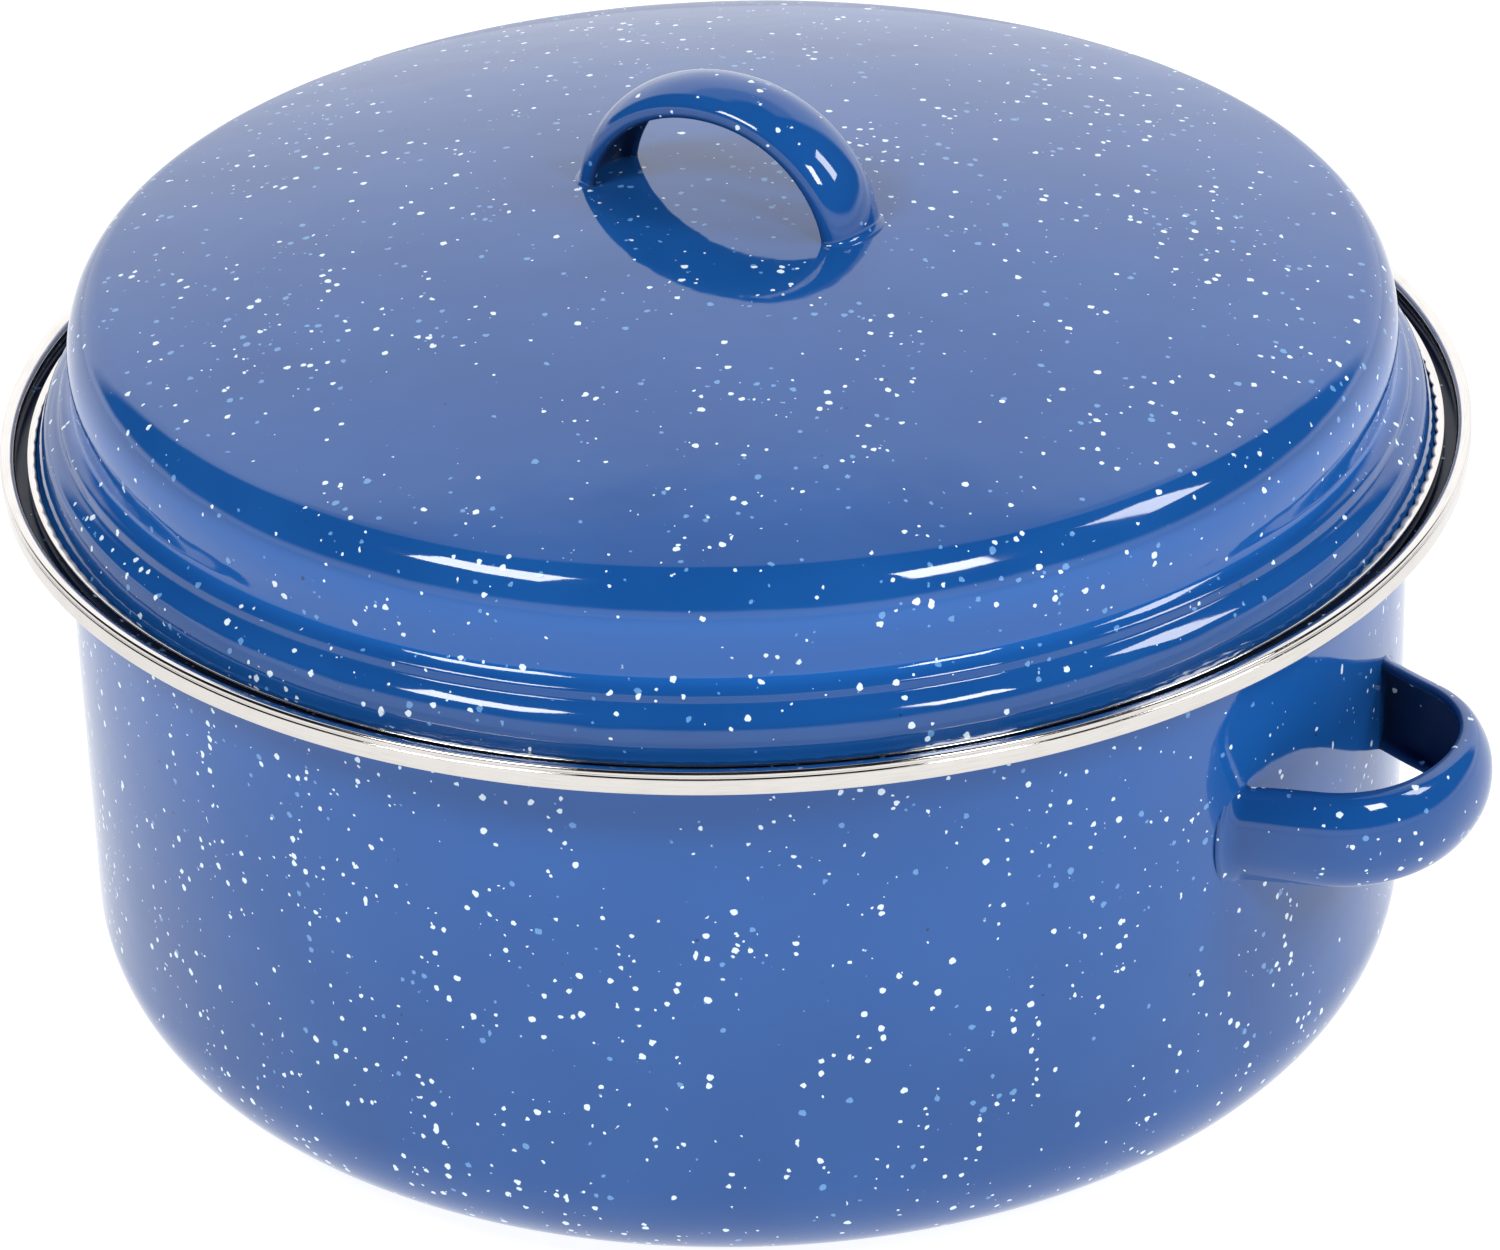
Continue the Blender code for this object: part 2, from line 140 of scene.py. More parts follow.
# Strap handles
SIDE_HANDLE_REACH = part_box("side_handle_right")[1].x
SIDE_HANDLE_HALF_WIDTH = 35.4 * MM
SIDE_HANDLE_Z = 79.6 * MM
SIDE_STRAP_HALF = 10.3 * MM
SIDE_STRAP_CAMBER = 4.0 * MM
SIDE_LEG_OUT = 17.0 * MM
SIDE_LEG_LEAN = radians(18)
SIDE_LEG_PULL = 12.0 * MM
SIDE_GRIP_PULL = 15.5 * MM
LID_HANDLE_HALF_LENGTH = 33.2 * MM
LID_HANDLE_TOP_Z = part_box("lid_handle")[1].z
LID_STRAP_HALF = 9.0 * MM
LID_STRAP_CAMBER = 3.2 * MM
LID_ROUNDNESS = 2.05
STRAP_SHEET = 2.2 * MM
STRAP_LIP = 2.9 * MM
STRAP_BEND = 1.5 * MM
STRAP_BEND_LINE = (
    # in from the strap's edge and deeper than the face, from the face round to the lip
    (0.75 * MM, 0.75 * MM),
    (0.45 * MM, 0.9 * MM),
    (0.25 * MM, 1.9 * MM),
)
STRAP_TIP_RADIUS = 0.95 * MM
STRAP_CHANNEL_IN = 3.1 * MM
STRAP_CAMBER_POWER = 2.2
STRAP_INNER_CAMBER = 0.85
STRAP_INNER_FILLET = 0.3
STRAP_STEPS = 112
LEG_STEPS = 30
SIDE_FOOT_FILLET = 2.6 * MM
LID_FOOT_FILLET = 1.5 * MM
FOOT_FADE = 12 * MM
FOOT_SINK = 0.5 * MM

# Jar rack
WIRE = 2.0 * MM
WIRE_STEP = 4.3 * MM
WIRE_SIDES = 18
RING_STEPS = 160
DIVIDER_COUNT = 6
DIVIDER_INNER_RADIUS = 44.8 * MM
DIVIDER_OUTER_RADIUS = 122.0 * MM
DIVIDER_BEND_RADIUS = 9.0 * MM
DIVIDER_TOP_Z = 62.0 * MM
DIVIDER_FLOOR_Z = 8.0 * MM
BASE_RING_Z = 3.7 * MM
TOP_RING_Z = 60.0 * MM
BASE_RING_RADII = {"outer": 106.0 * MM, "middle": 78.0 * MM, "inner": 50.0 * MM}
TOP_RING_RADII = {
    "outer": DIVIDER_OUTER_RADIUS + WIRE_STEP,
    "inner": DIVIDER_INNER_RADIUS - WIRE_STEP,
}
CENTRE_BAR_Y = 15.0 * MM
EYELET_WIRE = 1.25 * MM
EYELET_RING_RADIUS = 3.35 * MM
EYELET_X = 30.0 * MM
PIVOT_Y = 122.685 * MM
PIVOT_Z = 66.9 * MM
BAIL_WIRE = 1.75 * MM
BAIL_HALF_WIDTH = 25.0 * MM
BAIL_PIN_END_X = 35.0 * MM
BAIL_HEIGHT = 46.0 * MM
BAIL_FOOT_BEND = 3.0 * MM
BAIL_CORNER_RADIUS = 8.0 * MM
BAIL_KICK = 4.0 * MM
BAIL_KICK_START = 26.0 * MM
BAIL_LEAN = radians(6)


# Camera


def add_camera():
    azimuth, elevation = radians(CAMERA_AZIMUTH), radians(CAMERA_ELEVATION)
    back = Vector((sin(azimuth) * cos(elevation), -cos(azimuth) * cos(elevation), sin(elevation)))
    right = Vector((cos(azimuth), sin(azimuth), 0))
    up = back.cross(right)
    position = Vector((0, 0, CAMERA_TARGET_Z)) + back * CAMERA_DISTANCE
    looking = Matrix((right, up, back)).transposed()
    pan = Matrix.Rotation(radians(CAMERA_PAN), 3, -up)
    tilt = Matrix.Rotation(radians(CAMERA_TILT), 3, pan @ right)
    looking = tilt @ pan @ looking
    roll = Matrix.Rotation(radians(CAMERA_ROLL), 3, -looking.col[2])
    camera = bpy.data.objects.new("camera", bpy.data.cameras.new("camera"))
    bpy.context.scene.collection.objects.link(camera)
    camera.matrix_world = Matrix.Translation(position) @ (roll @ looking).to_4x4()
    camera.data.lens = LENS_MM
    camera.data.sensor_width = 36
    camera.data.clip_end = 100
    bpy.context.scene.camera = camera


# Mesh tools


def arc(centre, radius, start_deg, end_deg, steps):
    """Points (a, b) along an arc, both ends included."""
    angles = [radians(start_deg + (end_deg - start_deg) * i / steps) for i in range(steps + 1)]
    return [(centre[0] + radius * cos(a), centre[1] + radius * sin(a)) for a in angles]


def bezier(start, start_handle, end_handle, end, steps):
    """Points along a cubic, its start left out."""
    points = []
    for i in range(1, steps + 1):
        t = i / steps
        shares = ((1 - t) ** 3, 3 * t * (1 - t) ** 2, 3 * t * t * (1 - t), t**3)
        corners = (start, start_handle, end_handle, end)
        points.append(tuple(sum(s * p[k] for s, p in zip(shares, corners)) for k in (0, 1)))
    return points


def offset_line(points, distance):
    """The line moved by distance to its right-hand side, as seen along it."""
    moved = []
    for i, (a, b) in enumerate(points):
        before = points[max(i - 1, 0)]
        after = points[min(i + 1, len(points) - 1)]
        along = Vector((after[0] - before[0], after[1] - before[1])).normalized()
        moved.append((a + along.y * distance, b - along.x * distance))
    return moved


def smoothstep(value, low, high):
    t = min(max((value - low) / (high - low), 0), 1)
    return t * t * (3 - 2 * t)


def finish_mesh(name, shape, material):
    bmesh.ops.recalc_face_normals(shape, faces=shape.faces)
    mesh = bpy.data.meshes.new(name)
    shape.to_mesh(mesh)
    shape.free()
    mesh.shade_smooth()
    mesh.materials.append(material)
    obj = bpy.data.objects.new(name, mesh)
    bpy.context.scene.collection.objects.link(obj)
    return obj


def lathe(section, segments, reshape=None):
    """A closed section turned round Z. reshape(r, z, angle) may move each point to another (r, z)."""
    shape = bmesh.new()
    columns = []
    for k in range(segments):
        angle = 2 * pi * k / segments
        column = []
        for r, z in section:
            if r < 1e-6 and columns:
                column.append(columns[0][len(column)])
                continue
            if reshape:
                r, z = reshape(r, z, angle)
            column.append(shape.verts.new((r * cos(angle), r * sin(angle), z)))
        columns.append(column)
    for column, following in zip(columns, columns[1:] + columns[:1]):
        for i in range(len(section)):
            j = (i + 1) % len(section)
            corners = []
            for vert in (column[i], column[j], following[j], following[i]):
                if vert not in corners:
                    corners.append(vert)
            if len(corners) > 2:
                shape.faces.new(corners)
    return shape


def enamel_wave(r, z, angle):
    """The slow unevenness of a dipped and fired coat."""
    place = Vector((r * cos(angle), r * sin(angle), z)) / ENAMEL_WAVE_LENGTH
    push = ENAMEL_WAVE * noise.noise(place) if r > ENAMEL_WAVE_LENGTH else 0
    return r + push, z + push * 0.5 * smoothstep(z, 1 * MM, 4 * MM)


def loft(shape, rings, closed=False):
    """Joins rings of points, and caps both ends unless the loft is closed."""
    rows = [[shape.verts.new(point) for point in ring] for ring in rings]
    pairs = list(zip(rows, rows[1:]))
    if closed:
        pairs.append((rows[-1], rows[0]))
    for row, following in pairs:
        for i in range(len(row)):
            j = (i + 1) % len(row)
            shape.faces.new((row[i], row[j], following[j], following[i]))
    if not closed:
        shape.faces.new(rows[0][::-1])
        shape.faces.new(rows[-1])


def wire(shape, points, radius, closed=False):
    """A round wire along the points. Its cut ends have a small round edge."""
    points = [Vector(p) for p in points]
    edge = radius * 0.35
    stations = [(p, radius) for p in points]
    if not closed:
        for end, inner in ((0, 1), (-1, -2)):
            outward = (points[end] - points[inner]).normalized()
            cap = []
            for step in range(1, 5):
                angle = pi / 2 * step / 4
                back = edge * (1 - sin(angle))
                cap.append((points[end] - outward * back, radius - edge * (1 - cos(angle))))
            first = (points[end] - outward * edge, radius)
            if end == 0:
                stations = cap[::-1] + [first] + stations[1:]
            else:
                stations = stations[:-1] + [first] + cap
    count = len(stations)
    side = None
    rings = []
    for i, (point, ring_radius) in enumerate(stations):
        before = stations[(i - 1) % count if closed else max(i - 1, 0)][0]
        after = stations[(i + 1) % count if closed else min(i + 1, count - 1)][0]
        along = (after - before).normalized()
        if side is None:
            side = along.orthogonal()
        side = (side - along * side.dot(along)).normalized()
        other = along.cross(side)
        turns = [2 * pi * k / WIRE_SIDES for k in range(WIRE_SIDES)]
        rings.append([point + (side * cos(t) + other * sin(t)) * ring_radius for t in turns])
    loft(shape, rings, closed)


def paint(obj, layer_name, amount_of):
    """Stores, for each vertex, amount_of(vertex) from 0 to 1: the share of a coat, of painted light or of
    painted shade there.
    """
    layer = obj.data.attributes.new(layer_name, "FLOAT", "POINT")
    layer.data.foreach_set("value", [amount_of(vertex) for vertex in obj.data.vertices])


def place(obj, body, slot, *nodes):
    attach(obj, body)
    if nodes:
        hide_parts(*nodes)


# Shader tools. Each returns an output socket, and takes a number or a socket for each value.


def new_material(name):
    material = bpy.data.materials.new(name)
    material.use_nodes = True
    return material, material.node_tree, material.node_tree.nodes["Principled BSDF"]


def feed(tree, socket, value):
    if isinstance(value, bpy.types.NodeSocket):
        tree.links.new(value, socket)
    else:
        socket.default_value = value


def calc(tree, operation, *values):
    math_node = tree.nodes.new("ShaderNodeMath")
    math_node.operation = operation
    for socket, value in zip(math_node.inputs, values):
        feed(tree, socket, value)
    return math_node.outputs[0]


def vector_calc(tree, operation, a, b):
    vector_node = tree.nodes.new("ShaderNodeVectorMath")
    vector_node.operation = operation
    feed(tree, vector_node.inputs[0], a)
    feed(tree, vector_node.inputs["Scale" if operation == "SCALE" else 1], b)
    return vector_node.outputs[0]


def ramp(tree, value, low, high, start=0.0, end=1.0):
    """start up to low, end from high on, with a smooth step between."""
    node = tree.nodes.new("ShaderNodeMapRange")
    node.interpolation_type = "SMOOTHSTEP"
    for socket, number in zip(node.inputs, (value, low, high, start, end)):
        feed(tree, socket, number)
    return node.outputs[0]


def blend_colours(tree, share, a, b):
    node = tree.nodes.new("ShaderNodeMix")
    node.data_type = "RGBA"
    feed(tree, node.inputs[0], share)
    feed(tree, node.inputs[6], a)
    feed(tree, node.inputs[7], b)
    return node.outputs[2]


def cloud(tree, vector, scale, detail=2.0):
    """Noise as (value, colour), where a scale of 1 has features about 1 unit wide."""
    node = tree.nodes.new("ShaderNodeTexNoise")
    feed(tree, node.inputs["Vector"], vector)
    node.inputs["Scale"].default_value = scale
    node.inputs["Detail"].default_value = detail
    return node.outputs["Fac"], node.outputs["Color"]


def object_mm(tree):
    """The object's own coordinates, in millimetres."""
    coordinates = tree.nodes.new("ShaderNodeTexCoord")
    return vector_calc(tree, "SCALE", coordinates.outputs["Object"], 1000.0)


def split(tree, vector):
    node = tree.nodes.new("ShaderNodeSeparateXYZ")
    tree.links.new(vector, node.inputs[0])
    return node.outputs


def bump(tree, shader, height_mm):
    node = tree.nodes.new("ShaderNodeBump")
    node.inputs["Distance"].default_value = MM
    feed(tree, node.inputs["Height"], height_mm)
    tree.links.new(node.outputs[0], shader.inputs["Normal"])


# Enamel

# How thin the coat is at each vertex; it also carries painted shade in the pot's mouth.
THIN_COAT_AND_SHADE = "thin_coat_and_shade"
# Painted light: how much paler each vertex is painted, where light falls.
PAINTED_LIGHT = "painted_light"
BLUE_DEEP = (0.0072, 0.074, 0.285, 1)
BLUE = (0.0095, 0.085, 0.315, 1)
# Paler blue painted on the lid's drum and the pot's upper wall: painted light.
BLUE_PAINTED_LIGHT = (0.012, 0.112, 0.415, 1)
# Dark ground coat where the coat is thin, also used as painted shade in the pot's mouth and on the handles'
# inner faces.
GROUND_COAT_AND_SHADE = (0.011, 0.016, 0.038, 1)
FLECK_WHITE = (0.76, 0.90, 1.0, 1)
FLECK_PALE = (0.22, 0.50, 0.88, 1)
PIT = (0.004, 0.02, 0.07, 1)
WORN_BASE = (0.02, 0.05, 0.13, 1)
FLECK_LAYERS = (
    # cell and largest radius in mm, share of the enamel's own fleck share, shift, stretch
    (2.5, 0.80, 1.0, 0.0, (1, 1, 1)),
    (2.0, 0.36, 0.8, 5.3, (1, 1, 1)),
    (3.6, 0.62, 0.25, 9.4, (1, 1, 0.42)),
)


def painted(tree, layer_name):
    """The value paint() stored for each point: the share of a coat, of painted light or of painted shade
    there.
    """
    node = tree.nodes.new("ShaderNodeAttribute")
    node.attribute_name = layer_name
    return node.outputs["Fac"]


def fleck_layer(tree, vector, cell, radius, share, shift, stretch=(1, 1, 1)):
    """One layer of flecks, in mm. Returns (mask, random number of the fleck)."""
    mapping = tree.nodes.new("ShaderNodeMapping")
    mapping.inputs["Location"].default_value = (shift, shift * 1.7, shift * 0.6)
    mapping.inputs["Rotation"].default_value = (0.4 * shift, 0.3 * shift, 0.2 * shift)
    mapping.inputs["Scale"].default_value = [s / cell for s in stretch]
    tree.links.new(vector, mapping.inputs["Vector"])
    cells = tree.nodes.new("ShaderNodeTexVoronoi")
    cells.inputs["Scale"].default_value = 1.0
    tree.links.new(mapping.outputs[0], cells.inputs["Vector"])
    draws = split(tree, cells.outputs["Color"])
    present = calc(tree, "LESS_THAN", draws[0], share)
    reach = ramp(tree, draws[1], 0.0, 1.0, 0.5 * radius / cell, radius / cell)
    inner = calc(tree, "MULTIPLY", reach, 0.82)
    inside = ramp(tree, cells.outputs["Distance"], inner, reach, 1.0, 0.0)
    return calc(tree, "MULTIPLY", inside, present), draws[2]


def enamel(name, share, faint_share, worn_base=False):
    """Blue enamel. share is how many cells hold a fleck, faint_share how many flecks lie under the glaze."""
    material, tree, shader = new_material(name)
    spot = object_mm(tree)
    warp = vector_calc(tree, "SUBTRACT", cloud(tree, spot, 0.85)[1], (0.5, 0.5, 0.5))
    bent = vector_calc(tree, "ADD", spot, vector_calc(tree, "SCALE", warp, 0.9))
    crowding = ramp(tree, cloud(tree, spot, 0.045, 1.0)[0], 0.35, 0.66, 0.35, 1.8)

    mottle = ramp(tree, cloud(tree, spot, 0.03)[0], 0.3, 0.7)
    colour = blend_colours(tree, mottle, BLUE_DEEP, BLUE)
    # Painted light: paler blue on the lid's drum and up the pot's wall.
    colour = blend_colours(tree, painted(tree, PAINTED_LIGHT), colour, BLUE_PAINTED_LIGHT)
    # Dark where the coat is thin: real ground coat on the handles, painted shade there and in the pot's
    # mouth under the rim.
    thin_and_shade = painted(tree, THIN_COAT_AND_SHADE)
    colour = blend_colours(tree, thin_and_shade, colour, GROUND_COAT_AND_SHADE)
    pits, _ = fleck_layer(tree, bent, 7.0, 0.5, 0.30, 3.1)
    colour = blend_colours(tree, calc(tree, "MULTIPLY", pits, 0.7), colour, PIT)

    raised = 0.0
    for cell, radius, layer_share, shift, stretch in FLECK_LAYERS:
        crowded = calc(tree, "MULTIPLY", crowding, share * layer_share)
        mask, draw = fleck_layer(tree, bent, cell, radius, crowded, shift, stretch)
        sunk = calc(tree, "LESS_THAN", draw, faint_share)
        opacity = ramp(tree, sunk, 0.0, 1.0, 1.0, 0.55)
        fleck = blend_colours(tree, sunk, FLECK_WHITE, FLECK_PALE)
        colour = blend_colours(tree, calc(tree, "MULTIPLY", mask, opacity), colour, fleck)
        raised = calc(tree, "MAXIMUM", raised, calc(tree, "MULTIPLY", mask, opacity))

    smudges = ramp(tree, cloud(tree, spot, 0.05, 4.0)[0], 0.4, 0.75, 0.04, 0.085)
    roughness = calc(tree, "ADD", smudges, calc(tree, "MULTIPLY", raised, 0.03))
    if worn_base:
        height = split(tree, spot)[2]
        scuffs = ramp(tree, cloud(tree, spot, 0.35, 5.0)[0], 0.42, 0.6)
        low = ramp(tree, height, 0.4, 2.2, 1.0, 0.0)
        patchy = calc(tree, "ADD", calc(tree, "MULTIPLY", scuffs, 0.6), 0.25)
        worn = calc(tree, "MULTIPLY", low, patchy)
        colour = blend_colours(tree, worn, colour, WORN_BASE)
        roughness = calc(tree, "ADD", roughness, calc(tree, "MULTIPLY", worn, 0.35))

    wave = calc(tree, "MULTIPLY", cloud(tree, spot, 0.10, 1.0)[0], 0.06)
    peel = calc(tree, "MULTIPLY", cloud(tree, spot, 0.6, 2.0)[0], 0.004)
    height = calc(tree, "ADD", calc(tree, "ADD", wave, peel), calc(tree, "MULTIPLY", raised, 0.012))
    bump(tree, shader, height)
    tree.links.new(colour, shader.inputs["Base Color"])
    roughness = calc(tree, "ADD", roughness, calc(tree, "MULTIPLY", thin_and_shade, 0.30))
    tree.links.new(roughness, shader.inputs["Roughness"])
    tree.links.new(ramp(tree, thin_and_shade, 0.0, 0.85, 0.5, 0.14), shader.inputs["Specular IOR Level"])
    shader.inputs["IOR"].default_value = 1.52
    return material


# Metals

STAINLESS = (0.66, 0.635, 0.61, 1)
STAINLESS_DULL = (0.58, 0.555, 0.52, 1)
CHROME = (0.80, 0.81, 0.83, 1)
CHROME_DULL = (0.60, 0.61, 0.63, 1)
WELD_TINT = (0.30, 0.25, 0.20, 1)
BAND_RADIUS_MM = 150.0


def ring_coordinates(tree, spot, stretch):
    """Coordinates that run round Z, with their features stretched along the circumference."""
    x, y, z = split(tree, spot)
    angle = calc(tree, "ARCTAN2", y, x)
    squares = [calc(tree, "MULTIPLY", side, side) for side in (x, y)]
    reach = calc(tree, "SQRT", calc(tree, "ADD", *squares))
    joined = tree.nodes.new("ShaderNodeCombineXYZ")
    feed(tree, joined.inputs[0], calc(tree, "MULTIPLY", angle, BAND_RADIUS_MM / stretch))
    feed(tree, joined.inputs[1], reach)
    feed(tree, joined.inputs[2], z)
    return joined.outputs[0]


def stainless(name):
    """Rolled stainless strip, with drawing lines along it and handling marks."""
    material, tree, shader = new_material(name)
    spot = object_mm(tree)
    lines = cloud(tree, ring_coordinates(tree, spot, 40.0), 5.0, 3.0)[0]
    marks = cloud(tree, spot, 0.12, 4.0)[0]
    handled = ramp(tree, marks, 0.35, 0.7, 0.3, 1.0)
    dull = calc(tree, "MULTIPLY", ramp(tree, lines, 0.35, 0.7), handled)
    tree.links.new(blend_colours(tree, dull, STAINLESS, STAINLESS_DULL), shader.inputs["Base Color"])
    smear = ramp(tree, marks, 0.35, 0.7, 0.07, 0.13)
    roughness = calc(tree, "ADD", smear, calc(tree, "MULTIPLY", dull, 0.05))
    tree.links.new(roughness, shader.inputs["Roughness"])
    dents = calc(tree, "MULTIPLY", cloud(tree, spot, 0.16, 1.0)[0], 0.03)
    bump(tree, shader, calc(tree, "ADD", dents, calc(tree, "MULTIPLY", lines, 0.0002)))
    shader.inputs["Metallic"].default_value = 1.0
    return material


def chromed_wire(name, tinted=False):
    """Chromed wire with dried water spots, and a heat tint where it is a weld."""
    material, tree, shader = new_material(name)
    spot = object_mm(tree)
    haze = cloud(tree, spot, 0.25, 4.0)[0]
    spots, _ = fleck_layer(tree, spot, 3.0, 0.9, 0.3, 2.2)
    hazy = ramp(tree, haze, 0.5, 0.8, 0.0, 0.7)
    dull = calc(tree, "MAXIMUM", hazy, calc(tree, "MULTIPLY", spots, 0.35))
    colour = blend_colours(tree, dull, CHROME, CHROME_DULL)
    if tinted:
        colour = blend_colours(tree, ramp(tree, haze, 0.3, 0.7, 0.35, 0.9), colour, WELD_TINT)
    tree.links.new(colour, shader.inputs["Base Color"])
    tree.links.new(ramp(tree, dull, 0.0, 1.0, 0.10, 0.34), shader.inputs["Roughness"])
    bump(tree, shader, calc(tree, "MULTIPLY", cloud(tree, spot, 0.5, 3.0)[0], 0.01))
    shader.inputs["Metallic"].default_value = 1.0
    return material


# Pot


def pot_side(offset):
    """(r, z) points from the floor's centre out and up to the lip, moved inwards by offset."""
    points = [(0, offset)]
    corner = (WALL_RADIUS_BOTTOM - POT_CORNER_RADIUS, POT_CORNER_RADIUS)
    points += arc(corner, POT_CORNER_RADIUS - offset, -90, 0, 22)
    flare = (WALL_RADIUS_TOP + FLARE_RADIUS, LEDGE_UNDERSIDE_Z - FLARE_RADIUS)
    points += arc(flare, FLARE_RADIUS + offset, 180, 90, 10)
    lip = (LIP_RADIUS - LIP_FILLET_RADIUS, LEDGE_UNDERSIDE_Z + LIP_FILLET_RADIUS)
    points += arc(lip, LIP_FILLET_RADIUS - offset, -90, 0, 6)
    points.append((LIP_RADIUS - offset, LIP_TOP_Z))
    return points


def add_spaced(points, most):
    """The same line with extra points, so that no step is longer than most."""
    spaced = [points[0]]
    for (a, b), (c, d) in zip(points, points[1:]):
        steps = max(1, round(hypot(c - a, d - b) / most))
        spaced += [(a + (c - a) * i / steps, b + (d - b) * i / steps) for i in range(1, steps + 1)]
    return spaced


def add_pot(material):
    section = add_spaced(pot_side(0), 6 * MM) + add_spaced(pot_side(POT_SHEET), 6 * MM)[::-1]
    obj = finish_mesh("pot_enamel", lathe(section, SHELL_SEGMENTS, enamel_wave), material)

    def near_lip(vertex):
        """Painted shade: the ledge, the lip and the inner wall under the rim lie in shade, so they are
        painted dark and made duller, fading out down the inner wall.
        """
        above = vertex.co.z > LEDGE_UNDERSIDE_Z + POT_SHEET / 2
        within = hypot(vertex.co.x, vertex.co.y) < WALL_RADIUS_TOP - POT_SHEET / 2
        high = smoothstep(vertex.co.z, LEDGE_UNDERSIDE_Z - 14 * MM, LEDGE_UNDERSIDE_Z)
        return 0.85 * high * (above or within)

    def up_the_wall(vertex):
        """Painted light: the wall is painted paler from the base corner up to the mouth, standing in for
        more light towards the top.
        """
        return 0.55 * smoothstep(vertex.co.z, POT_CORNER_RADIUS, LEDGE_UNDERSIDE_Z)

    paint(obj, THIN_COAT_AND_SHADE, near_lip)
    paint(obj, PAINTED_LIGHT, up_the_wall)
    place(obj, "pot", "enamel", "pot_body")


def rim_band_outline():
    """(r, z) of the band's outside: tucked-in edge, skirt, spun crease, bead and the soft inner roll."""
    outline = [(RIM_RADIUS - BAND_SHEET - RIM_TUCK_IN, RIM_BOTTOM_Z + RIM_TUCK_UP)]
    outline += arc((RIM_RADIUS - RIM_CURL, RIM_BOTTOM_Z + RIM_CURL), RIM_CURL, -90, 0, 6)
    outline += add_spaced([outline[-1], (RIM_RADIUS, RIM_CREASE_Z - 0.2 * MM)], MM)[1:]
    crease = (RIM_RADIUS - RIM_CREASE_DEPTH, RIM_CREASE_Z)
    outline += bezier(outline[-1], (RIM_RADIUS, RIM_CREASE_Z - 0.05 * MM), crease, crease, 3)
    bead_r = RIM_RADIUS - RIM_BEAD_IN - RIM_BEAD_RADIUS
    outline += arc((bead_r, RIM_CREASE_Z + RIM_BEAD_UP + RIM_BEAD_RADIUS), RIM_BEAD_RADIUS, -35, 72, 12)
    crown = (bead_r - RIM_CROWN_IN, RIM_TOP_Z)
    bead_handle = (bead_r - 0.05 * MM, RIM_TOP_Z - 0.08 * MM)
    outline += bezier(outline[-1], bead_handle, (crown[0] + 0.2 * MM, RIM_TOP_Z), crown, 4)
    roll_end = (RIM_INNER_RADIUS, RIM_TOP_Z - RIM_ROLL_DROP)
    crown_handle = (crown[0] - RIM_ROLL_DROP / 2, RIM_TOP_Z)
    roll_handle = (RIM_INNER_RADIUS, roll_end[1] + RIM_ROLL_DROP / 2)
    outline += bezier(crown, crown_handle, roll_handle, roll_end, 12)
    outline.append((RIM_INNER_RADIUS, RIM_INNER_LEG_Z))
    return outline


def rim_wander(r, z, angle):
    """The crease isn't spun to the same height all the way round."""
    near_crease = smoothstep(abs(z - RIM_CREASE_Z), 0.7 * MM, 0.1 * MM)
    lift = RIM_CREASE_WANDER * noise.noise(Vector((cos(angle), sin(angle), 0.3)) * 6)
    return r, z + lift * near_crease


def add_rim_band(material):
    outline = rim_band_outline()
    section = outline + offset_line(outline, -BAND_SHEET)[::-1]
    obj = finish_mesh("pot_band", lathe(section, SHELL_SEGMENTS, rim_wander), material)
    place(obj, "pot", "stainless_band", "pot_rim_band")


# Lid


def dome_drop(radius):
    """How far the dome has fallen from its crown at that radius."""
    semi_r, semi_z = DRUM_RADIUS - SHOULDER_RADIUS, SHOULDER_Z - DRUM_Z
    start = radians(SHOULDER_START_DEG)
    edge = SHOULDER_RADIUS + semi_r * cos(start)
    slope = semi_z / semi_r * cos(start) / sin(start)
    return slope * radius**2 / (2 * edge)


def seat_step(start, end):
    """Points of a cubic from one station of SEAT_LINE to the next, its start left out."""
    reach = hypot(end[0] - start[0], end[1] - start[1]) / 3
    leaving, arriving = radians(start[2]), radians(end[2])
    start_handle = (start[0] + reach * sin(leaving), start[1] - reach * cos(leaving))
    end_handle = (end[0] - reach * sin(arriving), end[1] + reach * cos(arriving))
    return bezier(start[:2], start_handle, end_handle, end[:2], SEAT_STEPS)


def lid_wave(r, z, angle):
    """The enamel's unevenness, with the closer ripples where the coat runs and gathers at the seat."""
    r, z = enamel_wave(r, z, angle)
    place = Vector((r * cos(angle), r * sin(angle), z)) / SEAT_WAVE_LENGTH
    near_seat = smoothstep(z, DRUM_Z, DRUM_Z - 7 * MM) * smoothstep(z, BRIM_Z + 1 * MM, BRIM_Z + 6 * MM)
    return r + SEAT_WAVE * near_seat * noise.noise(place), z


def lid_outline():
    """(r, z) points of the lid's upper side, from the crown down and out to the brim's edge."""
    semi_r, semi_z = DRUM_RADIUS - SHOULDER_RADIUS, SHOULDER_Z - DRUM_Z
    edge = SHOULDER_RADIUS + semi_r * cos(radians(SHOULDER_START_DEG))
    points = [(edge * i / 24, LID_CROWN_Z - dome_drop(edge * i / 24)) for i in range(24)]
    for i in range(21):
        angle = radians(SHOULDER_START_DEG * (1 - i / 20))
        points.append((SHOULDER_RADIUS + semi_r * cos(angle), DRUM_Z + semi_z * sin(angle)))
    before = (DRUM_RADIUS, DRUM_Z, 0)
    for station in SEAT_LINE:
        points += seat_step(before, station)
        before = station
    points.append((BRIM_RADIUS, BRIM_Z))
    return points


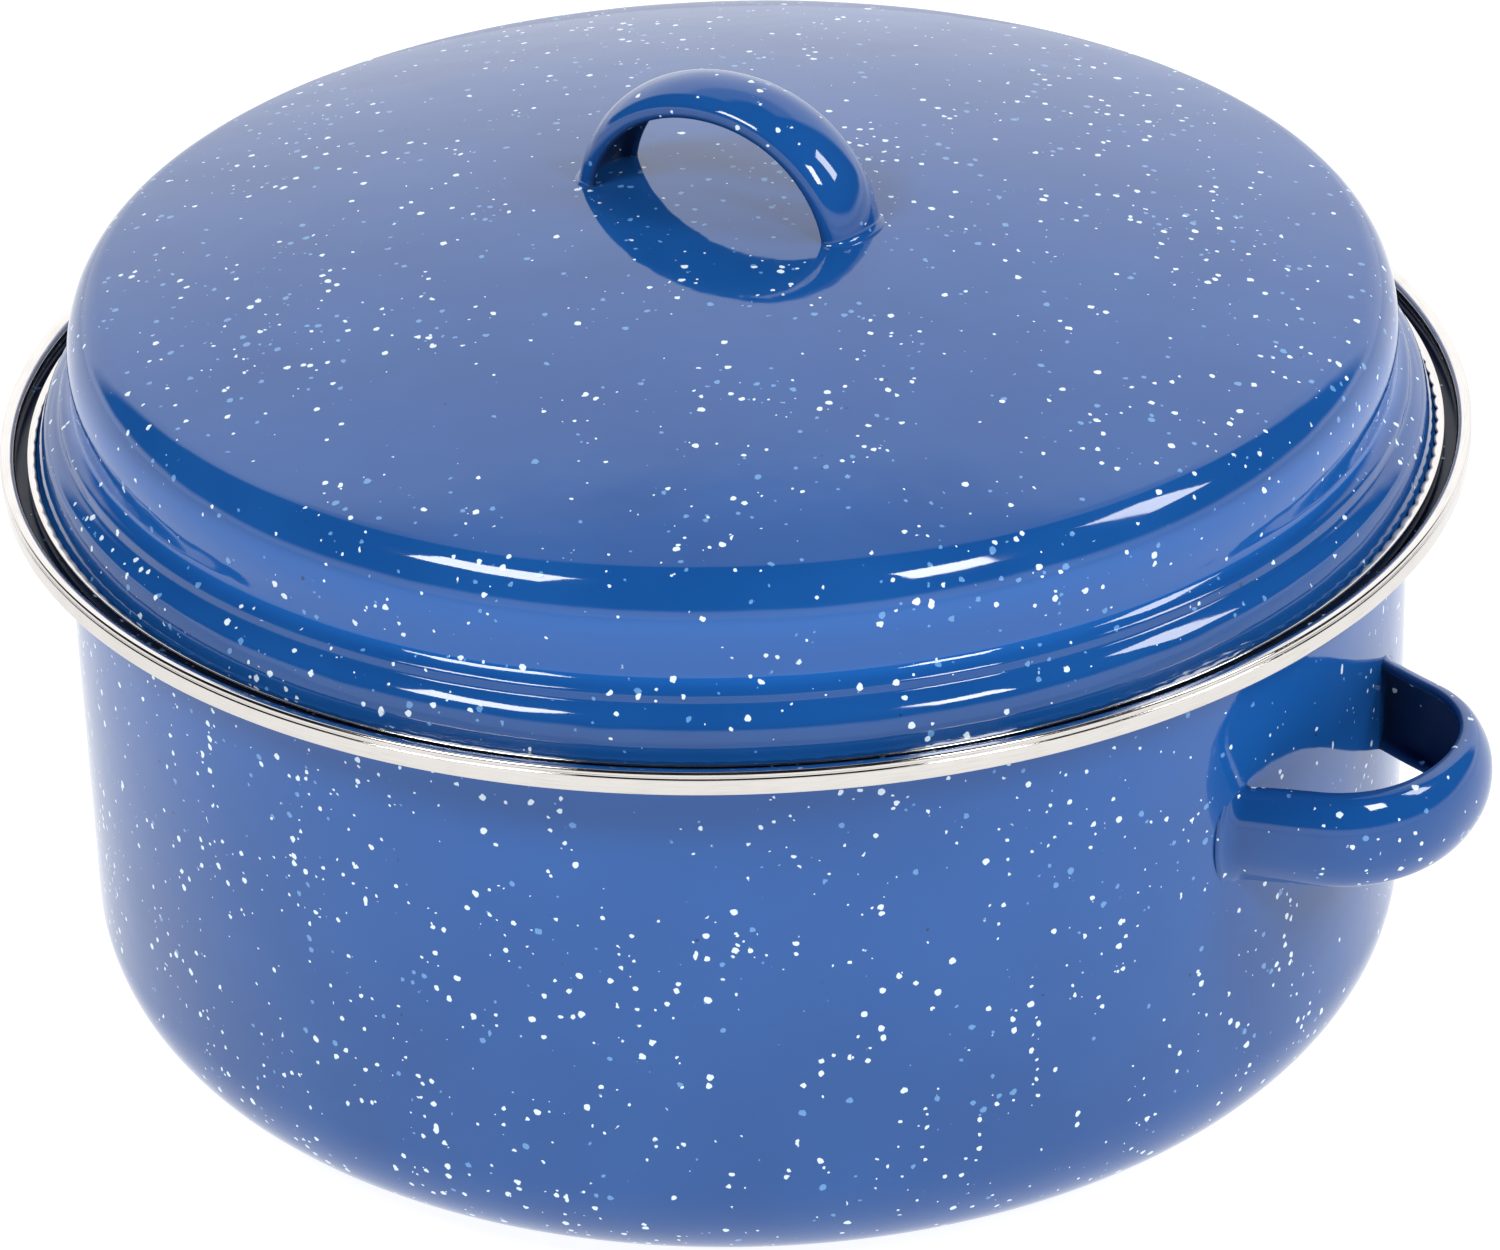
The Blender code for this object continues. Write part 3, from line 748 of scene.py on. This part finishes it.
def add_lid(material):
    outline = lid_outline()
    under = offset_line(outline, LID_SHEET)
    under[0] = (0, under[0][1])
    obj = finish_mesh("lid_enamel", lathe(outline + under[::-1], SHELL_SEGMENTS, lid_wave), material)

    def on_drum(vertex):
        """Painted light: the drum, between the shoulder and the seat, is painted paler, standing in for
        light falling on it.
        """
        top = smoothstep(vertex.co.z, SHOULDER_Z - 6 * MM, SHOULDER_Z - 10 * MM)
        return top * smoothstep(vertex.co.z, SEAT_LINE[2][1], SEAT_LINE[0][1])

    paint(obj, PAINTED_LIGHT, on_drum)
    place(obj, "lid", "enamel", "lid_shell")


def crimp_amount(angle):
    """How deeply the band's teeth are pressed, which varies round the lid."""
    near_deepest = 0.5 + 0.5 * cos(angle - CRIMP_DEEPEST_AT)
    patchy = 0.5 + 0.5 * noise.noise(Vector((cos(angle), sin(angle), 0)) * 5)
    return (0.25 + 0.75 * near_deepest) * (0.65 + 0.35 * patchy)


def crimp(r, z, angle):
    """Cuts the inner edge of the band's upper flange into small rounded teeth."""
    upper = smoothstep(z, BRIM_Z - 0.4 * MM, BRIM_Z)
    near_edge = smoothstep(r, CRIMP_INNER_RADIUS + CRIMP_REACH, CRIMP_INNER_RADIUS) * upper
    uneven = 0.12 * noise.noise(Vector((cos(angle), sin(angle), 1)) * 40)
    tooth = abs(sin(CRIMP_TEETH * angle / 2 + uneven)) ** 0.55
    depth = CRIMP_DEPTH * crimp_amount(angle)
    return r - (tooth * depth - 0.35 * depth) * near_edge, z - 0.10 * MM * (1 - tooth) * near_edge


def add_lid_band(material):
    """A channel round the brim's edge, its upper flange crimped down."""
    corner_r = LID_BAND_RADIUS - CRIMP_CORNER
    outline = [(CRIMP_INNER_RADIUS, LID_BAND_BOTTOM_Z)]
    outline += arc((corner_r, LID_BAND_BOTTOM_Z + CRIMP_CORNER), CRIMP_CORNER, -90, 0, 6)
    outline += arc((corner_r, LID_BAND_TOP_Z - CRIMP_CORNER), CRIMP_CORNER, 0, 90, 8)
    outline += [(CRIMP_INNER_RADIUS + out, LID_BAND_TOP_Z - down) for out, down in CRIMP_EDGE]
    section = outline + offset_line(outline, -BAND_SHEET)[::-1]
    obj = finish_mesh("lid_band", lathe(section, CRIMP_TEETH * CRIMP_STEPS, crimp), material)
    place(obj, "lid", "stainless_band", "lid_rim_band")


# Strap handles


def strap_section(half, camber):
    """(across, depth, fillet share) round a C-shaped strap, its lips turned towards the fingers."""
    steps = 14
    bend_at = half - STRAP_BEND
    face = [-bend_at + 2 * bend_at * i / steps for i in range(steps + 1)]
    outer = [(w, camber * abs(w / half) ** STRAP_CAMBER_POWER) for w in face]
    bend_line = [(half - edge, outer[-1][1] + deeper) for edge, deeper in STRAP_BEND_LINE]
    bend = bezier(outer[-1], *bend_line, 6)
    tip = (half - STRAP_TIP_RADIUS, camber + STRAP_LIP - STRAP_TIP_RADIUS)
    lip = [(half, tip[1])] + arc(tip, STRAP_TIP_RADIUS, 20, 160, 6)

    def channel(across):
        """A point of the face towards the fingers."""
        curve = STRAP_INNER_CAMBER * camber * abs(across / half) ** STRAP_CAMBER_POWER
        return across, STRAP_SHEET + curve

    corner = channel(half - STRAP_CHANNEL_IN)
    lip_handle = (half - 2.2 * MM, camber + 1.2 * MM)
    corner_handle = (half - 2.4 * MM, corner[1] + 0.35 * MM)
    back = bezier(lip[-1], lip_handle, corner_handle, corner, 5)
    inner = [channel(corner[0] * (1 - 2 * i / steps)) for i in range(1, steps)]
    right_side = [(w, d, 1.0) for w, d in bend + lip] + [(w, d, STRAP_INNER_FILLET) for w, d in back]
    left_side = [(-w, d, share) for w, d, share in reversed(right_side)]
    middle = [(w, d, STRAP_INNER_FILLET) for w, d in inner]
    return [(w, d, 1.0) for w, d in outer] + right_side + middle + left_side


def section_normals(section):
    """Unit vectors that point out of the closed section."""
    normals = []
    for i in range(len(section)):
        before, after = section[i - 1], section[(i + 1) % len(section)]
        along = Vector((after[0] - before[0], after[1] - before[1])).normalized()
        normals.append((along.y, -along.x))
    return normals


def handle_path(half_width, reach, roundness):
    """Half a superellipse as (across, out), with closer points at its feet."""
    points = []
    for i in range(STRAP_STEPS + 1):
        t = i / STRAP_STEPS
        angle = pi * (t - 0.8 * sin(2 * pi * t) / (2 * pi))
        across = abs(cos(angle)) ** (2 / roundness) * half_width
        out = abs(sin(angle)) ** (2 / roundness) * reach
        points.append((across if angle < pi / 2 else -across, out))
    return points


def loop_path(half_width, reach):
    """(across, out) of two straight legs that lean together and the round grip between them."""
    lean = SIDE_LEG_LEAN
    foot = (half_width + FOOT_SINK * tan(lean), -FOOT_SINK)
    bend = (half_width - SIDE_LEG_OUT * tan(lean), SIDE_LEG_OUT)
    pull = (bend[0] - SIDE_LEG_PULL * sin(lean), bend[1] + SIDE_LEG_PULL * cos(lean))
    leg = []
    for i in range(LEG_STEPS + 1):
        t = i / LEG_STEPS
        leg.append(tuple(a + (b - a) * t * t for a, b in zip(foot, bend)))
    half = leg + bezier(bend, pull, (SIDE_GRIP_PULL, reach), (0, reach), STRAP_STEPS // 3)
    return half + [(-across, out) for across, out in reversed(half[:-1])]


def strap(name, path, lateral, axis, height_of, section, fillet, material):
    """Lofts the section along the path.

    Both feet follow the surface, whose height along axis is height_of(point), and swell into it
    with a fillet.
    """
    normals = section_normals(section)
    rings = []
    for i, point in enumerate(path):
        along = (path[min(i + 1, len(path) - 1)] - path[max(i - 1, 0)]).normalized()
        outward = along.cross(lateral).normalized()
        clear = point.dot(axis) - height_of(point)
        if clear < -FOOT_SINK * 1.01:
            continue
        lack = min(max(fillet - clear, 0), fillet)
        swell = fillet - sqrt(fillet**2 - lack**2)
        fade = 1 - smoothstep(clear, 0, FOOT_FADE)
        ring = []
        for (across, depth, share), (normal_across, normal_depth) in zip(section, normals):
            across += normal_across * swell * share
            depth += normal_depth * swell * share
            corner = point + lateral * across - outward * depth
            ring.append(corner + axis * (height_of(corner) - height_of(point)) * fade)
        rings.append(ring)
    shape = bmesh.new()
    loft(shape, rings)
    obj = finish_mesh(name, shape, material)
    deepest = max(depth for _, depth, _ in section)

    def inside(vertex):
        """The coat is thin on the fingers' side and on the lips, showing the dark ground coat; the dark
        there is also painted shade on faces turned from the light.
        """
        _, depth, share = section[vertex.index % len(section)]
        return 0.8 if share < 1 else 0.65 * smoothstep(depth, 0.7 * deepest, deepest)

    paint(obj, THIN_COAT_AND_SHADE, inside)
    return obj


def wall_height(point):
    """How far out the pot's wall lies along X, at the point's own y and z."""
    share = (point.z - POT_CORNER_RADIUS) / (LEDGE_UNDERSIDE_Z - FLARE_RADIUS - POT_CORNER_RADIUS)
    radius = WALL_RADIUS_BOTTOM + (WALL_RADIUS_TOP - WALL_RADIUS_BOTTOM) * share
    return sqrt(radius**2 - point.y**2)


def add_side_handle(name, node, side, material):
    foot = Vector((0, SIDE_HANDLE_HALF_WIDTH, SIDE_HANDLE_Z))
    chord = wall_height(foot)
    plan = loop_path(SIDE_HANDLE_HALF_WIDTH, SIDE_HANDLE_REACH - chord)
    axis = Vector((side, 0, 0))
    path = [Vector((side * (chord + out), side * across, SIDE_HANDLE_Z)) for across, out in plan]
    section = strap_section(SIDE_STRAP_HALF, SIDE_STRAP_CAMBER)
    down = Vector((0, 0, -1))
    obj = strap(name, path, down, axis, wall_height, section, SIDE_FOOT_FILLET, material)
    place(obj, "pot", "enamel", node)


def dome_height(point):
    return LID_CROWN_Z - dome_drop(hypot(point.x, point.y))


def add_lid_handle(material):
    foot_z = LID_CROWN_Z - 4 * LID_SHEET
    arch = handle_path(LID_HANDLE_HALF_LENGTH, LID_HANDLE_TOP_Z - foot_z, LID_ROUNDNESS)
    path = [Vector((across, 0, foot_z + up)) for across, up in arch]
    section = strap_section(LID_STRAP_HALF, LID_STRAP_CAMBER)
    across, up = Vector((0, -1, 0)), Vector((0, 0, 1))
    obj = strap("lid_strap", path, across, up, dome_height, section, LID_FOOT_FILLET, material)
    place(obj, "lid", "enamel", "lid_handle")


# Jar rack


def add_wire_piece(name, body, node, points, radius, material, closed=False):
    shape = bmesh.new()
    wire(shape, points, radius, closed)
    place(finish_mesh(name, shape, material), body, "chromed_wire", node)


def circle(radius, z, steps=RING_STEPS):
    turns = [2 * pi * k / steps for k in range(steps)]
    return [(radius * cos(t), radius * sin(t), z) for t in turns]


def add_rings(material):
    rings = [("base", place_name, r, BASE_RING_Z) for place_name, r in BASE_RING_RADII.items()]
    rings += [("top", place_name, r, TOP_RING_Z) for place_name, r in TOP_RING_RADII.items()]
    for level, place_name, radius, z in rings:
        name = f"{level}_ring_wire_{place_name}"
        node = f"rack_{level}_ring_{place_name}"
        add_wire_piece(name, "rack", node, circle(radius, z), WIRE, material, closed=True)


def divider_angles():
    return [2 * pi * (number + 0.5) / DIVIDER_COUNT for number in range(DIVIDER_COUNT)]


def divider_outline():
    """One U-shaped divider in its own radial plane, as (r, z)."""
    bend = DIVIDER_BEND_RADIUS
    low = DIVIDER_FLOOR_Z + bend
    line = [(DIVIDER_INNER_RADIUS, DIVIDER_TOP_Z)]
    line += arc((DIVIDER_INNER_RADIUS + bend, low), bend, 180, 270, 12)
    line += arc((DIVIDER_OUTER_RADIUS - bend, low), bend, 270, 360, 12)
    line.append((DIVIDER_OUTER_RADIUS, DIVIDER_TOP_Z))
    return line


def add_dividers(material):
    for number, angle in enumerate(divider_angles(), 1):
        points = [(r * cos(angle), r * sin(angle), z) for r, z in divider_outline()]
        add_wire_piece(f"divider_wire_{number}", "rack", f"rack_divider_{number}", points, WIRE, material)


def centre_bar_reach():
    return sqrt((BASE_RING_RADII["inner"] - WIRE) ** 2 - (CENTRE_BAR_Y + WIRE) ** 2) - 0.3 * MM


def add_centre_bars(material):
    reach = centre_bar_reach()
    for end, side in (("front", -1), ("back", 1)):
        points = [(x, side * CENTRE_BAR_Y, BASE_RING_Z) for x in (-reach, -reach / 2, reach / 2, reach)]
        add_wire_piece(f"centre_wire_{end}", "rack", f"rack_centre_bar_{end}", points, WIRE, material)


def eyelet_places():
    for end, sign_y in (("front", -1), ("back", 1)):
        for hand, sign_x in (("left", -1), ("right", 1)):
            yield f"{end}_{hand}", sign_x * EYELET_X, sign_y * PIVOT_Y


def add_eyelets(material):
    for place_name, x, y in eyelet_places():
        turns = [2 * pi * k / 40 for k in range(40)]
        ring = EYELET_RING_RADIUS
        points = [(x, y + ring * cos(t), PIVOT_Z + ring * sin(t)) for t in turns]
        node = f"rack_eyelet_{place_name}"
        add_wire_piece(f"eyelet_wire_{place_name}", "rack", node, points, EYELET_WIRE, material, closed=True)


def bail_half_outline():
    """(x, height) from a pin's end, round the foot and up to the middle of the grip."""
    foot = arc((BAIL_HALF_WIDTH + BAIL_FOOT_BEND, BAIL_FOOT_BEND), BAIL_FOOT_BEND, 270, 180, 10)
    corner_centre = (BAIL_HALF_WIDTH - BAIL_CORNER_RADIUS, BAIL_HEIGHT - BAIL_CORNER_RADIUS)
    corner = arc(corner_centre, BAIL_CORNER_RADIUS, 0, 90, 12)
    leg = [(BAIL_HALF_WIDTH, BAIL_KICK_START + 2 * MM * i) for i in range(6)]
    return [(BAIL_PIN_END_X, 0)] + foot + leg + corner


def add_bails(material):
    half = bail_half_outline()
    outline = half + [(-x, height) for x, height in reversed(half)]
    for end, sign_y in (("front", -1), ("back", 1)):
        points = []
        for x, height in outline:
            rise = max(0, height - BAIL_KICK_START) / (BAIL_HEIGHT - BAIL_KICK_START)
            out = BAIL_KICK * rise**2
            lean_out = out * cos(BAIL_LEAN) + height * sin(BAIL_LEAN)
            lean_up = height * cos(BAIL_LEAN) - out * sin(BAIL_LEAN)
            points.append((x, sign_y * (PIVOT_Y + lean_out), PIVOT_Z + lean_up))
        body, node = f"rack_bail_{end}", f"rack_handle_{end}"
        add_wire_piece(f"bail_wire_{end}", body, node, points, BAIL_WIRE, material)


def weld_places():
    """(point, direction) of each spot weld, where direction runs from one wire to the other."""
    welds = []
    for angle in divider_angles():
        for radius in BASE_RING_RADII.values():
            point = Vector((radius * cos(angle), radius * sin(angle), BASE_RING_Z + WIRE_STEP / 2))
            welds.append((point, Vector((0, 0, 1))))
        for radius in (DIVIDER_OUTER_RADIUS + WIRE_STEP / 2, DIVIDER_INNER_RADIUS - WIRE_STEP / 2):
            outward = Vector((cos(angle), sin(angle), 0))
            welds.append((outward * radius + Vector((0, 0, TOP_RING_Z)), outward))
    for side_x in (-1, 1):
        for side_y in (-1, 1):
            end = Vector((side_x * centre_bar_reach(), side_y * CENTRE_BAR_Y, BASE_RING_Z))
            welds.append((end, Vector((side_x, 0, 0))))
    for _, x, y in eyelet_places():
        welds.append((Vector((x, y, TOP_RING_Z + WIRE)), Vector((0, 0, 1))))
    return welds


def add_welds(material):
    """Small uneven beads that bridge the wires at every crossing."""
    shape = bmesh.new()
    for number, (point, direction) in enumerate(weld_places()):
        bead = bmesh.ops.create_icosphere(shape, subdivisions=3, radius=1.0)["verts"]
        turn = direction.to_track_quat("Z", "Y").to_matrix()
        for vert in bead:
            lump = 1 + 0.18 * noise.noise(vert.co * 1.6 + Vector((number * 3.7, 0, 0)))
            local = Vector((vert.co.x * 1.5, vert.co.y * 1.5, vert.co.z * 0.95)) * lump * MM
            vert.co = turn @ local + point
    place(finish_mesh("rack_welds", shape, material), "rack", "chromed_wire")


# Stage and light

FLOOR_COLOUR = (0.28, 0.28, 0.28, 1)
FLOOR_GLOW = 0.93
BACKDROP = (1.40, 1.40, 1.41, 1)
BACKDROP_HIGH = (1.50, 1.50, 1.52, 1)
CEILING = (0.80, 0.80, 0.82, 1)
BACKDROP_HALF_WIDTH = 48
BACKDROP_TURN = -3
DARK_ROOM = (0.015, 0.015, 0.02, 1)
SOFTBOXES = (
    # name, azimuth from the camera, elevation, width, height, radiance
    ("softbox_left", -49, 46, 0.60, 0.42, 19),
    ("softbox_right", 37, 38, 0.38, 0.42, 21),
    ("softbox_side", 80, 38, 0.36, 0.60, 13),
)
SOFTBOX_DISTANCE = 1.7


def add_floor():
    material, tree, shader = new_material("floor_paper")
    spot = object_mm(tree)
    fibres = cloud(tree, spot, 0.4, 4.0)[0]
    shade = ramp(tree, fibres, 0.3, 0.7, 0.0, 1.0)
    darker = tuple(c * 0.97 for c in FLOOR_COLOUR[:3]) + (1,)
    tree.links.new(blend_colours(tree, shade, darker, FLOOR_COLOUR), shader.inputs["Base Color"])
    shader.inputs["Roughness"].default_value = 0.9
    shader.inputs["Emission Color"].default_value = (1, 1, 1, 1)
    shader.inputs["Emission Strength"].default_value = FLOOR_GLOW
    shape = bmesh.new()
    bmesh.ops.create_grid(shape, x_segments=2, y_segments=2, size=5)
    floor = finish_mesh("studio_floor", shape, material)
    floor.location.z = -0.2 * MM


def add_softboxes():
    for name, azimuth, elevation, width, height, radiance in SOFTBOXES:
        a, e = radians(CAMERA_AZIMUTH + azimuth), radians(elevation)
        towards = Vector((sin(a) * cos(e), -cos(a) * cos(e), sin(e)))
        light = bpy.data.lights.new(name, "AREA")
        light.shape = "RECTANGLE"
        light.size = width
        light.size_y = height
        light.energy = radiance * pi * width * height
        obj = bpy.data.objects.new(name, light)
        bpy.context.scene.collection.objects.link(obj)
        obj.location = Vector((0, 0, CAMERA_TARGET_Z)) + towards * SOFTBOX_DISTANCE
        obj.rotation_euler = towards.to_track_quat("Z", "Y").to_euler()
        obj.visible_camera = False


def add_world():
    """White paper behind the object and low all round it, and a dark room beside, in front and above."""
    world = bpy.data.worlds.new("studio")
    world.use_nodes = True
    bpy.context.scene.world = world
    tree = world.node_tree
    coordinates = tree.nodes.new("ShaderNodeTexCoord")
    direction = coordinates.outputs["Generated"]
    x, y, z = split(tree, direction)
    a = radians(CAMERA_AZIMUTH + BACKDROP_TURN)
    shares = [calc(tree, "MULTIPLY", x, sin(a)), calc(tree, "MULTIPLY", y, -cos(a))]
    towards_camera = calc(tree, "ADD", *shares)
    level = calc(tree, "SQRT", calc(tree, "SUBTRACT", 1.0, calc(tree, "MULTIPLY", z, z)))
    facing = calc(tree, "DIVIDE", towards_camera, calc(tree, "MAXIMUM", level, 0.001))
    edge = BACKDROP_HALF_WIDTH
    skyline = ramp(tree, facing, 0.1, 0.85, sin(radians(1)), sin(radians(6)))
    above = ramp(tree, calc(tree, "SUBTRACT", z, skyline), 0.0, sin(radians(5)))
    beside = ramp(tree, facing, -cos(radians(edge - 5)), -cos(radians(edge + 5)))
    overhead = ramp(tree, z, sin(radians(66)), sin(radians(74)))
    dark = calc(tree, "MAXIMUM", calc(tree, "MULTIPLY", above, beside), overhead)
    high = ramp(tree, z, sin(radians(6)), sin(radians(24)))
    backdrop = blend_colours(tree, high, BACKDROP, BACKDROP_HIGH)
    ceiling = ramp(tree, z, sin(radians(46)), sin(radians(54)))
    backdrop = blend_colours(tree, ceiling, backdrop, CEILING)
    surroundings = blend_colours(tree, dark, backdrop, DARK_ROOM)
    seen = tree.nodes.new("ShaderNodeLightPath").outputs["Is Camera Ray"]
    colour = blend_colours(tree, seen, surroundings, (1, 1, 1, 1))
    tree.links.new(colour, tree.nodes["Background"].inputs["Color"])


def main():
    add_camera()
    pot_coat = enamel("enamel_pot", 0.275, 0.22, worn_base=True)
    lid_coat = enamel("enamel_lid", 0.26, 0.46)
    handle_coat = enamel("enamel_handles", 0.24, 0.25)
    band = stainless("stainless")
    add_pot(pot_coat)
    add_rim_band(band)
    add_side_handle("side_strap_right", "side_handle_right", 1, handle_coat)
    add_side_handle("side_strap_left", "side_handle_left", -1, handle_coat)
    add_lid(lid_coat)
    add_lid_band(band)
    add_lid_handle(handle_coat)
    chrome = chromed_wire("chromed_wire")
    add_rings(chrome)
    add_centre_bars(chrome)
    add_dividers(chrome)
    add_eyelets(chrome)
    add_bails(chrome)
    add_welds(chromed_wire("weld_metal", tinted=True))
    add_floor()
    add_softboxes()
    add_world()
    bpy.context.scene.view_settings.view_transform = "Standard"


main()
